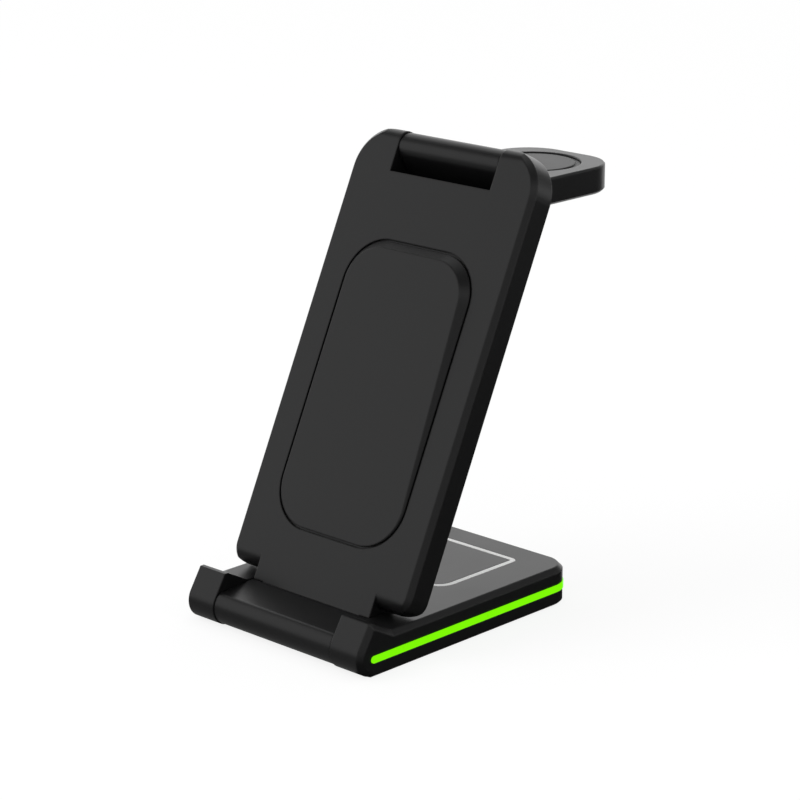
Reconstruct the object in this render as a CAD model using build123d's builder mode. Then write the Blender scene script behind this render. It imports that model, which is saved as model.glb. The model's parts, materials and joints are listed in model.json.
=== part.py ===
from build123d import *
from math import cos, radians, sin, tan
import os

# A folding charging station: a flat base for earbuds, a leaning panel for a phone
# and a fold-over arm for a watch.
# Millimetres. +X to the right of someone facing the phone, +Y to the back, +Z up.
# The origin is the middle of the base's plan, on the table.

# Overall sizes
width = 78.0
base_length = 99.5
base_height = 12.6
ear_height = 17.0
lean_angle = 25.24
panel_length = 155.8
panel_thickness = 9.6
arm_reach = 57.2
arm_thickness = 9.0

# Clearances
snug_gap = 0.05
running_gap = 0.05
moving_gap = 0.3
cover_gap = 0.1
foot_gap = 0.4
part_gap = 1.0

# Base
mat_thickness = 0.9
shell_bottom = 0.2
edge_chamfer = 1.6
bottom_chamfer = 0.6
base_corner_radius = 9.2
base_wall = 2.8
deck_thickness = 2.0
base_cover_thickness = 1.2
cover_rebate = 1.0
mat_inset = 10.5
mat_front = 19.0
mat_back_margin = 4.0
mat_corner_radius = 6.0

# Ears, which hold the lip and carry the phone's weight
ear_radius = 6.5
ear_width = 13.0
ear_front_angle = 58.0
ear_tip_flat = 1.45
ear_shelf_run = 8.3
ear_block_depth = 17.0
pocket_length = 31.5
pocket_wall = 2.0

# Lip between the ears, which carries the panel
barrel_radius = 6.2
ledge_height = 5.14
ledge_rise_angle = 4.0
crest_radius = 1.8
panel_pin_back = 13.7
panel_pin_rise = 0.25
cheek_radius = 3.6
cheek_thickness = 3.9
cheek_skin = 0.8
lip_underside_start = 1.5
lip_underside_lift = 0.2
lip_underside_in = 3.9
lip_underside_drop = 3.3

# Panel, measured up its slope from its lower pin
panel_corner_radius = 14.5
panel_foot_corner_radius = 6.0
panel_foot_centre = 12.4
panel_top_round = 4.0
panel_front_chamfer = 1.6
panel_back_chamfer = 0.5
panel_wall = 2.6
panel_face_wall = 1.8
panel_cover_thickness = 1.6
foot_height = 4.0
foot_overlap = 10.0
notch_half_width = 21.46
notch_drop = 9.5
cavity_start = 18.0
cavity_margin = 4.5

# Phone pad, a raised wedge with rounded corners in a groove of its own
pad_half_width = 26.65
pad_start = 24.15
pad_top_margin = 36.65
pad_corner_radius = 14.65
pad_groove = 0.7
pad_low = 0.15
pad_high = 2.7
pad_recess = 0.9
pad_side_angle = 45.0

# Watch arm
arm_barrel_radius = 4.6
arm_drop = 7.2
arm_corner_radius = 14.4
arm_edge_chamfer = 0.5
arm_bottom_chamfer = 0.8
arm_wall = 2.0
arm_top_wall = 2.4
arm_cover_thickness = 1.4
arm_room_front = 4.5
arm_screw_front = 8.5
arm_screw_rear = 51.0
arm_screw_spread = 15.4
arm_screw_rear_spread = 10.8
arm_board_stand = 1.2
arm_board_margin = 6.0
neck_back = 8.5
neck_front_drop = 2.2
dish_radius = 15.6
dish_seat_depth = 1.6
dish_thickness = 0.9
dish_rim_round = 0.35
dish_back = 36.9

# Pins, sleeves and screws
lip_pin_radius = 2.0
lip_sleeve_radius = 3.2
panel_pin_radius = 1.5
panel_sleeve_radius = 2.6
arm_pin_radius = 1.5
arm_sleeve_radius = 2.6
pin_grip = 8.0
sleeve_length = 9.0
screw_radius = 1.0
screw_head_radius = 2.0
screw_head_height = 0.9
screw_length = 5.5
screw_cross = 0.5
screw_cross_length = 2.2
boss_radius = 2.8
boss_gap = 0.8

# Light strips in the two sides
strip_height = 2.25
strip_centre = 5.88
strip_depth = 1.8
strip_proud = 0.3
strip_start = 4.9
strip_rear_end = 16.0
led_count = 5
led_length = 4.0
led_height = 1.6
led_thickness = 0.7
led_board_thickness = 0.8
led_first = 27.0
led_back_margin = 12.5
led_margin = 0.5

# Earbud place on the deck
outline_half_width = 24.45
outline_near = 50.95
outline_back_margin = 10.95
outline_near_radius = 7.0
outline_far_radius = 2.5
outline_line = 1.8
outline_depth = 0.3

# Charging coils and their shields
coil_thickness = 1.4
shield_thickness = 0.8
shield_margin = 1.0
phone_coil_margin = 2.5
phone_coil_gap = 2.0
phone_coil_bore = 9.0
earbud_coil_radius = 20.0
earbud_coil_bore = 8.0
watch_coil_radius = 13.0
watch_coil_bore = 6.0
watch_magnet_radius = 4.5

# Circuit boards
board_thickness = 1.2
board_stand = 1.8
post_radius = 2.2
post_margin = 1.0
main_board_width = 50.0
chip_sizes = [(7, 7), (5, 5), (9, 4)]
chip_places = [(-15, -8), (2, -10), (16, -4)]
panel_board_width = 44.0
panel_board_length = 12.0
arm_board_width = 24.0
arm_board_length = 8.0
chip_height = 1.2

# Weight plate in the front of the base
ballast_margin = 1.3
ballast_length = 25.0
ballast_thickness = 2.4

# Supply inlet in the middle of the back
socket_width = 8.94
socket_height = 3.2
socket_length = 7.35
socket_wall = 0.3
socket_inset = 0.8
socket_cavity = 6.2
socket_tongue_width = 6.7
socket_tongue_thickness = 0.7
socket_tongue_length = 5.0
inlet_margin = 1.2

# Places worked out from the sizes above
front = -base_length / 2
back = base_length / 2
half_width = width / 2
lean = radians(lean_angle)
lip_pin_y = front + ear_radius
lip_pin_z = ear_radius
panel_pin_y = lip_pin_y + panel_pin_back
panel_pin_z = lip_pin_z + panel_pin_rise
half_thickness = panel_thickness / 2
arm_pin_height = panel_length - half_thickness
notch_floor = arm_pin_height - notch_drop
pad_end = panel_length - pad_top_margin
arm_pin_y = panel_pin_y + arm_pin_height * sin(lean)
arm_pin_z = panel_pin_z + arm_pin_height * cos(lean)
pocket_back = front + pocket_length
pocket_half_width = half_width - ear_width
lip_half_width = pocket_half_width - moving_gap
foot_half_width = pocket_half_width - foot_gap
tongue_half_width = lip_half_width - cheek_thickness - moving_gap
cover_top = shell_bottom + base_cover_thickness
deck_underside = base_height - deck_thickness

# Planes that stand with the leaning panel
panel_up = Vector(0, sin(lean), cos(lean))
panel_forward = Vector(0, -cos(lean), sin(lean))
panel_pin = Vector(0, panel_pin_y, panel_pin_z)
arm_pin = Vector(0, arm_pin_y, arm_pin_z)
panel_middle = Plane(origin=panel_pin, x_dir=(1, 0, 0), z_dir=panel_forward)
panel_front = panel_middle.offset(half_thickness)
panel_back = panel_middle.offset(-half_thickness)
panel_side = Plane(origin=panel_pin, x_dir=panel_up, z_dir=(1, 0, 0))
arm_side = Plane(origin=arm_pin, x_dir=(0, 1, 0), z_dir=(1, 0, 0))
arm_top_z = arm_pin_z - arm_drop
arm_bottom_z = arm_top_z - arm_thickness

os.makedirs("parts", exist_ok=True)


def save(piece, name):
    """Label a finished piece and write it under its own name."""
    piece.part.label = name
    export_step(piece.part, f"parts/{name}.step")


def pin_pair(plane, radius, inner, outer):
    """Two pins on one axis, one each side of the middle, from inner to outer."""
    with BuildPart() as pins:
        with BuildSketch(plane.offset(inner)):
            Circle(radius)
        extrude(amount=outer - inner)
        mirror(about=Plane.YZ)
    return pins


def sleeve_pair(plane, bore, radius, inner, outer):
    """Two friction sleeves on one axis, each wrapped round its pin with a slit."""
    slit = bore / 2
    with BuildPart() as sleeves:
        with BuildSketch(plane.offset(inner)):
            Circle(radius)
            Circle(bore, mode=Mode.SUBTRACT)
            with Locations((radius, 0)):
                Rectangle(2 * (radius - bore) + slit, slit, mode=Mode.SUBTRACT)
        extrude(amount=outer - inner)
        mirror(about=Plane.YZ)
    return sleeves


def screw_group(plane, places):
    """Countersunk screws whose heads lie flush with the plane, with a cross in each head."""
    with BuildPart(plane) as screws:
        with Locations(*places):
            Cone(
                bottom_radius=screw_radius,
                top_radius=screw_head_radius,
                height=screw_head_height,
                align=(Align.CENTER, Align.CENTER, Align.MAX),
            )
            Cylinder(
                screw_radius,
                screw_length,
                align=(Align.CENTER, Align.CENTER, Align.MAX),
            )
        with BuildSketch(plane):
            with Locations(*places):
                Rectangle(screw_cross_length, screw_cross)
                Rectangle(screw_cross, screw_cross_length)
        extrude(amount=-screw_cross, mode=Mode.SUBTRACT)
    return screws


def screw_holes(plane, places):
    """Countersunk clearance for the screws, to be cut from a cover."""
    with BuildPart(plane, mode=Mode.PRIVATE) as holes:
        with Locations(*places):
            Cone(
                bottom_radius=screw_radius + cover_gap,
                top_radius=screw_head_radius + cover_gap,
                height=screw_head_height,
                align=(Align.CENTER, Align.CENTER, Align.MAX),
            )
            Cylinder(
                screw_radius + cover_gap,
                screw_length + cover_gap,
                align=(Align.CENTER, Align.CENTER, Align.MAX),
            )
    return holes.part


def coil_ring(plane, centre, radius, bore, thickness):
    """A flat wound coil, drawn as a plain ring."""
    with BuildPart() as coil:
        with BuildSketch(plane):
            with Locations(centre):
                Circle(radius)
                Circle(bore, mode=Mode.SUBTRACT)
        extrude(amount=thickness)
    return coil


# Light strips and the lamps behind them

def right_strip(grow):
    """The right-hand light strip, round the rear corner, made larger all round by grow."""
    outer = strip_proud + grow
    inner = strip_depth + grow
    height = strip_height + 2 * grow
    level = Plane.XY.offset(strip_centre - height / 2)
    with BuildPart() as strip:
        with BuildSketch(level) as outside:
            Rectangle(width + 2 * outer, base_length + 2 * outer)
            fillet(outside.vertices().group_by(Axis.Y)[-1], base_corner_radius + outer)
        extrude(amount=height)
        with BuildSketch(level) as inside:
            Rectangle(width - 2 * inner, base_length - 2 * inner)
            fillet(inside.vertices().group_by(Axis.Y)[-1], base_corner_radius - inner)
        extrude(amount=height, mode=Mode.SUBTRACT)
        with BuildSketch(level):
            with Locations((0, front - outer)):
                Rectangle(2 * width, 2 * (strip_start - grow + outer))
            with Locations((strip_rear_end - grow - width, 0)):
                Rectangle(2 * width, 2 * base_length)
        extrude(amount=height, mode=Mode.SUBTRACT)
        front_end = strip.faces().filter_by(Axis.Y).sort_by(Axis.Y)[0]
        rear_end = strip.faces().filter_by(Axis.X).sort_by(Axis.X)[0]
        ends = front_end.edges().filter_by(Axis.X) + rear_end.edges().filter_by(Axis.Y)
        fillet(ends, 0.499 * height)
    return strip.part


led_front = front + led_first
led_span = back - led_back_margin - led_front
led_pitch = led_span / (led_count - 1)


def led_rows(across, length, height, thickness):
    """A row of small blocks down the right side of the base, one at each lamp."""
    places = [(led_front + n * led_pitch, strip_centre) for n in range(led_count)]
    with BuildPart() as row:
        with BuildSketch(Plane.YZ.offset(across)):
            with Locations(*places):
                Rectangle(length, height)
        extrude(amount=thickness)
    return row.part


strip_groove = right_strip(snug_gap)
led_windows = led_rows(
    half_width - base_wall - moving_gap, led_length + 2 * led_margin, led_height, base_wall
)
with BuildPart() as strip_cuts:
    add(strip_groove)
    add(led_windows)
    mirror(about=Plane.YZ)

socket_z = cover_top + board_stand + board_thickness + socket_height / 2
inlet_plane = Plane(origin=(0, back, socket_z), x_dir=(1, 0, 0), z_dir=(0, -1, 0))
socket_plane = inlet_plane.offset(socket_inset)


def earbud_line(outer):
    """Plan of the earbud place, larger than its line's middle by outer all round."""
    near = front + outline_near - outer
    far = back - outline_back_margin + outer
    reach = outline_half_width + outer
    with BuildSketch(mode=Mode.PRIVATE) as area:
        with Locations((0, (near + far) / 2)):
            Rectangle(2 * reach, far - near)
        fillet(area.vertices().group_by(Axis.Y)[0], outline_near_radius + outer)
        fillet(area.vertices().group_by(Axis.Y)[-1], outline_far_radius + outer)
    return area.sketch


line_outside = earbud_line(0)
line_inside = earbud_line(-outline_line)

# Base

screw_x = half_width - base_wall - led_thickness - led_board_thickness - boss_radius - boss_gap
base_screw_places = [
    (x, y)
    for x in (-screw_x, screw_x)
    for y in (pocket_back + pocket_wall + boss_radius, back - base_wall - 2 * boss_radius)
]
underside = Plane(origin=(0, 0, shell_bottom), x_dir=(1, 0, 0), z_dir=(0, 0, -1))
base_screw_points = [(x, -y) for x, y in base_screw_places]

# Side outline of the base: a round nose under a sloping ear, then the flat deck
nose_reach = (ear_radius**2 - (lip_pin_z - shell_bottom) ** 2) ** 0.5
ear_slope = radians(ear_front_angle)
nose_top_y = lip_pin_y - ear_radius * sin(ear_slope)
nose_top_z = lip_pin_z + ear_radius * cos(ear_slope)
ear_front_y = nose_top_y + (ear_height - nose_top_z) / tan(ear_slope)
ear_back_y = ear_front_y + ear_tip_flat
ear_foot_y = ear_back_y + ear_shelf_run

with BuildPart(mode=Mode.PRIVATE) as rear_form:
    # The rear half in plan, with rounded and bevelled corners
    with BuildSketch(Plane.XY.offset(shell_bottom)) as plan:
        Rectangle(width, base_length)
        fillet(plan.vertices().group_by(Axis.Y)[-1], base_corner_radius)
    extrude(amount=base_height - shell_bottom)
    chamfer(rear_form.faces().sort_by(Axis.Z)[-1].edges(), edge_chamfer)
    chamfer(rear_form.faces().sort_by(Axis.Z)[0].edges(), bottom_chamfer)
    # The front half is left full here, for the ears
    with BuildSketch(Plane.XY.offset(shell_bottom)):
        with Locations((0, front / 2)):
            Rectangle(width, base_length / 2)
    extrude(amount=ear_height - shell_bottom)

with BuildPart() as base_top_shell:
    with BuildSketch(Plane.YZ):
        with BuildLine():
            Line((back, shell_bottom), (lip_pin_y - nose_reach, shell_bottom))
            ThreePointArc(
                (lip_pin_y - nose_reach, shell_bottom),
                (front, lip_pin_z),
                (nose_top_y, nose_top_z),
            )
            Polyline(
                (nose_top_y, nose_top_z),
                (ear_front_y, ear_height),
                (ear_back_y, ear_height),
                (ear_foot_y, base_height),
                (back, base_height),
                (back, shell_bottom),
            )
        make_face()
    extrude(amount=half_width, both=True)
    flanks = base_top_shell.faces().filter_by(Axis.X).edges()
    rim = flanks.filter_by(lambda edge: edge.center().Z > shell_bottom + 0.01)
    chamfer(rim.filter_by(lambda edge: edge.center().Y < back - 0.01), edge_chamfer)
    foot_edges = base_top_shell.faces().sort_by(Axis.Z)[0].edges().filter_by(Axis.Y)
    chamfer(foot_edges, bottom_chamfer)
    add(rear_form.part, mode=Mode.INTERSECT)

    # Pocket for the lip, open in front, above and below
    with BuildSketch(Plane.XY):
        with Locations((0, (front + pocket_back) / 2)):
            Rectangle(2 * pocket_half_width, pocket_length)
    extrude(amount=ear_height, mode=Mode.SUBTRACT)

    # Room inside, under the deck, and the seat of the bottom cover
    with BuildSketch(Plane.XY.offset(cover_top)) as room:
        Rectangle(width - 2 * base_wall, base_length - 2 * base_wall)
        fillet(room.vertices().group_by(Axis.Y)[-1], base_corner_radius - base_wall)
        with Locations((0, front + ear_block_depth / 2)):
            Rectangle(width, ear_block_depth, mode=Mode.SUBTRACT)
        with Locations((0, (front + pocket_back + pocket_wall) / 2)):
            Rectangle(
                2 * (pocket_half_width + pocket_wall),
                pocket_length + pocket_wall,
                mode=Mode.SUBTRACT,
            )
    extrude(amount=deck_underside - cover_top, mode=Mode.SUBTRACT)
    seat_inset = base_wall - cover_rebate
    with BuildSketch(Plane.XY.offset(shell_bottom)) as seat:
        Rectangle(width - 2 * seat_inset, base_length - 2 * seat_inset)
        fillet(seat.vertices().group_by(Axis.Y)[-1], base_corner_radius - seat_inset)
        with Locations((0, front + (ear_block_depth - cover_rebate) / 2)):
            Rectangle(width, ear_block_depth - cover_rebate, mode=Mode.SUBTRACT)
    extrude(amount=base_cover_thickness, mode=Mode.SUBTRACT)

    # Screw bosses down from the deck
    with BuildSketch(Plane.XY.offset(cover_top)):
        with Locations(*base_screw_places):
            Circle(boss_radius)
    extrude(amount=deck_underside - cover_top)
    with BuildSketch(Plane.XY.offset(cover_top)):
        with Locations(*base_screw_places):
            Circle(screw_radius + snug_gap)
    extrude(amount=screw_length, mode=Mode.SUBTRACT)

    # Bores in the ears for the lip's pins
    for side in (-1, 1):
        with BuildSketch(Plane.YZ.offset(side * pocket_half_width)):
            with Locations((lip_pin_y, lip_pin_z)):
                Circle(lip_pin_radius + snug_gap)
        extrude(amount=side * (pin_grip + cover_gap), mode=Mode.SUBTRACT)

    # Grooves and lamp windows for the light strips
    add(strip_cuts.part, mode=Mode.SUBTRACT)

    # Supply inlet through the back wall, with a shallow lead-in
    with BuildSketch(inlet_plane):
        SlotOverall(socket_width + 2 * inlet_margin, socket_height + 2 * inlet_margin)
    extrude(amount=socket_inset, mode=Mode.SUBTRACT)
    with BuildSketch(socket_plane):
        SlotOverall(socket_width + 2 * cover_gap, socket_height + 2 * cover_gap)
    extrude(amount=base_wall, mode=Mode.SUBTRACT)

    # Groove for the line round the earbud place
    with BuildSketch(Plane.XY.offset(base_height - outline_depth)):
        add(line_outside)
        add(line_inside, mode=Mode.SUBTRACT)
    extrude(amount=outline_depth, mode=Mode.SUBTRACT)
save(base_top_shell, "base_top_shell")

with BuildPart() as earbud_outline:
    with BuildSketch(Plane.XY.offset(base_height - outline_depth)):
        add(line_outside)
        add(line_inside, mode=Mode.SUBTRACT)
    extrude(amount=outline_depth)
save(earbud_outline, "earbud_outline")

# Weight plate and main board share the room under the deck, one behind the other
ballast_front = pocket_back + pocket_wall + part_gap
ballast_middle = ballast_front + ballast_length / 2
ballast_width = 2 * (screw_x - boss_radius - ballast_margin)
main_board_front = ballast_front + ballast_length + part_gap
main_board_back = back - base_wall - moving_gap
main_board_length = main_board_back - main_board_front
main_board_middle = (main_board_front + main_board_back) / 2
main_board_bottom = cover_top + board_stand
main_board_top = main_board_bottom + board_thickness
post_x = main_board_width / 2 - post_radius - post_margin
post_y = main_board_length / 2 - post_radius - post_margin
main_posts = [(x, main_board_middle + y) for x in (-post_x, post_x) for y in (-post_y, post_y)]

mat_middle = (front + mat_front + back - mat_back_margin) / 2
mat_length = base_length - mat_front - mat_back_margin

with BuildPart() as base_bottom_cover:
    cover_inset = base_wall - cover_rebate + cover_gap
    cover_front = front + ear_block_depth - cover_rebate + cover_gap
    pocket_floor_front = lip_pin_y + barrel_radius + 2 * moving_gap
    with BuildSketch(Plane.XY.offset(shell_bottom)) as cover_plan:
        Rectangle(width - 2 * cover_inset, base_length - 2 * cover_inset)
        fillet(cover_plan.vertices().group_by(Axis.Y)[-1], base_corner_radius - cover_inset)
        with Locations((0, (front + cover_front) / 2)):
            Rectangle(width, cover_front - front, mode=Mode.SUBTRACT)
        with Locations((0, (pocket_floor_front + cover_front) / 2)):
            Rectangle(2 * lip_half_width, cover_front - pocket_floor_front)
    extrude(amount=base_cover_thickness)
    with BuildSketch(Plane.XY.offset(shell_bottom)):
        with Locations((0, mat_middle)):
            RectangleRounded(width - 2 * mat_inset, mat_length, mat_corner_radius)
    extrude(amount=mat_thickness - shell_bottom, mode=Mode.SUBTRACT)
    with BuildSketch(Plane.XY.offset(cover_top)):
        with Locations(*main_posts):
            Circle(post_radius)
    extrude(amount=board_stand)
    add(screw_holes(underside, base_screw_points), mode=Mode.SUBTRACT)
save(base_bottom_cover, "base_bottom_cover")

with BuildPart() as anti_slip_mat:
    with BuildSketch():
        with Locations((0, mat_middle)):
            RectangleRounded(
                width - 2 * mat_inset - 2 * cover_gap,
                mat_length - 2 * cover_gap,
                mat_corner_radius - cover_gap,
            )
    extrude(amount=mat_thickness)
save(anti_slip_mat, "anti_slip_mat")

save(screw_group(underside, base_screw_points), "base_screws")

with BuildPart() as light_strip_right:
    add(right_strip(0))
save(light_strip_right, "light_strip_right")

with BuildPart() as light_strip_left:
    add(mirror(light_strip_right.part, about=Plane.YZ))
save(light_strip_left, "light_strip_left")

lamp_face = half_width - base_wall - led_thickness - snug_gap
with BuildPart() as side_lamps:
    add(led_rows(lamp_face, led_length, led_height, led_thickness))
    mirror(about=Plane.YZ)
save(side_lamps, "side_lamps")

lamp_board_bottom = strip_centre - strip_height
lamp_board_length = led_span + 3 * led_length
lamp_board_middle = led_front + led_span / 2
with BuildPart() as lamp_boards:
    with BuildSketch(Plane.YZ.offset(lamp_face - led_board_thickness)):
        with Locations((lamp_board_middle, (lamp_board_bottom + deck_underside) / 2)):
            Rectangle(lamp_board_length, deck_underside - lamp_board_bottom)
    extrude(amount=led_board_thickness)
    mirror(about=Plane.YZ)
save(lamp_boards, "lamp_boards")

with BuildPart() as main_board:
    with BuildSketch(Plane.XY.offset(main_board_bottom)):
        with Locations((0, main_board_middle)):
            Rectangle(main_board_width, main_board_length)
    extrude(amount=board_thickness)
save(main_board, "main_board")

with BuildPart() as board_chips:
    with BuildSketch(Plane.XY.offset(main_board_top)):
        for size, place in zip(chip_sizes, chip_places):
            with Locations((place[0], main_board_middle + place[1])):
                Rectangle(*size)
    extrude(amount=chip_height)
save(board_chips, "board_chips")

with BuildPart() as supply_socket:
    with BuildSketch(socket_plane):
        SlotOverall(socket_width, socket_height)
    extrude(amount=socket_length)
    with BuildSketch(socket_plane):
        SlotOverall(socket_width - 2 * socket_wall, socket_height - 2 * socket_wall)
    extrude(amount=socket_cavity, mode=Mode.SUBTRACT)
    with BuildSketch(socket_plane.offset(socket_cavity)):
        Rectangle(socket_tongue_width, socket_tongue_thickness)
    extrude(amount=-socket_tongue_length)
save(supply_socket, "supply_socket")

with BuildPart() as ballast_plate:
    with BuildSketch(Plane.XY.offset(cover_top)):
        with Locations((0, ballast_middle)):
            RectangleRounded(ballast_width, ballast_length, post_radius)
    extrude(amount=ballast_thickness)
save(ballast_plate, "ballast_plate")

earbud_middle = (front + outline_near + back - outline_back_margin) / 2
earbud_coil_plane = Plane.XY.offset(deck_underside - coil_thickness)
earbud_coil = coil_ring(
    earbud_coil_plane, (0, earbud_middle), earbud_coil_radius, earbud_coil_bore, coil_thickness
)
save(earbud_coil, "earbud_coil")

with BuildPart() as earbud_shield:
    with BuildSketch(earbud_coil_plane):
        with Locations((0, earbud_middle)):
            RectangleRounded(
                2 * (earbud_coil_radius + shield_margin),
                2 * (earbud_coil_radius + shield_margin),
                post_radius,
            )
    extrude(amount=-shield_thickness)
save(earbud_shield, "earbud_shield")

lip_axis_plane = Plane(origin=(0, lip_pin_y, lip_pin_z), x_dir=(0, 1, 0), z_dir=(1, 0, 0))
lip_pins = pin_pair(
    lip_axis_plane, lip_pin_radius, pocket_half_width - pin_grip, pocket_half_width + pin_grip
)
save(lip_pins, "lip_pins")

# Lip, a round barrel between the ears that runs back as a ledge to the panel's lower pin

ledge_slope = radians(ledge_rise_angle)
ledge_along = (cos(ledge_slope), sin(ledge_slope))
ledge_foot = (
    lip_pin_y - ledge_height * sin(ledge_slope),
    lip_pin_z + ledge_height * cos(ledge_slope),
)
ledge_front_reach = (barrel_radius**2 - ledge_height**2) ** 0.5


def on_ledge(distance):
    """A point on the ledge's line, so far behind the foot of the lip pin."""
    return (
        ledge_foot[0] + distance * ledge_along[0],
        ledge_foot[1] + distance * ledge_along[1],
    )


def by_panel(height, forward):
    """A point in side view, so far up the panel from its pin and so far in front of its middle."""
    place = panel_pin + panel_up * height + panel_forward * forward
    return (place.Y, place.Z)


clear_radius = half_thickness + moving_gap
ledge_crest = on_ledge(-ledge_front_reach)
ledge_rear = on_ledge(panel_pin_back)
lip_underside_rear = (panel_pin_y - lip_underside_in, panel_pin_z - lip_underside_drop)
lip_underside_front = (
    lip_pin_y + lip_underside_start,
    lip_pin_z - barrel_radius + lip_underside_lift,
)
lip_inner_width = tongue_half_width + moving_gap

with BuildPart() as lip_link:
    with BuildSketch(Plane.YZ):
        with Locations((lip_pin_y, lip_pin_z)):
            Circle(barrel_radius)
        with BuildLine():
            Polyline(
                ledge_crest,
                (lip_pin_y, lip_pin_z),
                lip_underside_front,
                lip_underside_rear,
                (panel_pin_y, panel_pin_z),
                ledge_rear,
                close=True,
            )
        make_face()
        # Everything above the ledge's line goes
        with BuildLine():
            Polyline(
                on_ledge(-2 * barrel_radius),
                on_ledge(2 * panel_pin_back),
                (panel_pin_y, ear_height),
                (front, ear_height),
                close=True,
            )
        make_face(mode=Mode.SUBTRACT)
        # Room for the panel's front face and for its round tongue
        with BuildLine():
            Polyline(
                by_panel(0, clear_radius),
                by_panel(2 * panel_thickness, clear_radius),
                by_panel(2 * panel_thickness, -panel_thickness),
                by_panel(0, -panel_thickness),
                close=True,
            )
        make_face(mode=Mode.SUBTRACT)
        with Locations((panel_pin_y, panel_pin_z)):
            Circle(clear_radius, mode=Mode.SUBTRACT)
    extrude(amount=lip_half_width, both=True)
    crest = lip_link.edges().filter_by(Axis.X).sort_by_distance((0, *ledge_crest))[0]
    fillet(crest, crest_radius)

    # Two cheeks reach back on either side of the tongue and hold its pins
    for side in (-1, 1):
        with BuildSketch(Plane.YZ.offset(side * lip_inner_width)):
            with Locations((panel_pin_y, panel_pin_z)):
                Circle(cheek_radius)
            with BuildLine():
                Polyline(
                    by_panel(cheek_radius, 0),
                    by_panel(cheek_radius, clear_radius + moving_gap),
                    lip_underside_rear,
                    (panel_pin_y, panel_pin_z - cheek_radius),
                    (panel_pin_y, panel_pin_z),
                    close=True,
                )
            make_face()
        extrude(amount=side * (lip_half_width - lip_inner_width))

    # Blind bores for the friction sleeves in front and for the panel's pins behind
    for side in (-1, 1):
        with BuildSketch(Plane.YZ.offset(side * lip_half_width)):
            with Locations((lip_pin_y, lip_pin_z)):
                Circle(lip_sleeve_radius + snug_gap)
        extrude(amount=-side * (sleeve_length + snug_gap), mode=Mode.SUBTRACT)
        with BuildSketch(Plane.YZ.offset(side * (lip_half_width - cheek_skin))):
            with Locations((panel_pin_y, panel_pin_z)):
                Circle(panel_pin_radius + snug_gap)
        extrude(amount=-side * (cheek_thickness + snug_gap), mode=Mode.SUBTRACT)
save(lip_link, "lip_link")

lip_sleeves = sleeve_pair(
    lip_axis_plane,
    lip_pin_radius + running_gap,
    lip_sleeve_radius,
    lip_half_width - sleeve_length,
    lip_half_width,
)
save(lip_sleeves, "lip_sleeves")

panel_axis_plane = Plane(origin=(0, panel_pin_y, panel_pin_z), x_dir=(0, 1, 0), z_dir=(1, 0, 0))
panel_pins = pin_pair(
    panel_axis_plane,
    panel_pin_radius,
    tongue_half_width - pin_grip,
    lip_half_width - cheek_skin - snug_gap,
)
save(panel_pins, "panel_pins")

# Panel, a shallow tray that stands with its open side to the back

cavity_top = notch_floor - cavity_margin
cavity_middle = (cavity_start + cavity_top) / 2
cavity_height = cavity_top - cavity_start
cavity_half_width = half_width - panel_wall
cover_half_width = cavity_half_width + cover_rebate
cover_height = cavity_height + 2 * cover_rebate
panel_cover_face = panel_back.offset(panel_cover_thickness)
panel_inner_face = panel_front.offset(-panel_face_wall)
panel_screw_x = cavity_half_width - boss_radius
panel_screw_places = [
    (x, y)
    for x in (-panel_screw_x, panel_screw_x)
    for y in (cavity_start + boss_radius, cavity_top - boss_radius)
]
panel_outside = Plane(origin=panel_back.origin, x_dir=(-1, 0, 0), z_dir=-panel_forward)
pad_middle = (pad_start + pad_end) / 2
pad_height = pad_end - pad_start
phone_coil_radius = (pad_height - 2 * phone_coil_margin - phone_coil_gap) / 4
phone_coil_spacing = 2 * phone_coil_radius + phone_coil_gap
panel_board_middle = cavity_top - 2 * boss_radius - panel_board_length / 2 - part_gap
panel_post_x = panel_board_width / 2 - post_radius
panel_posts = [(x, panel_board_middle) for x in (-panel_post_x, panel_post_x)]

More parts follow.
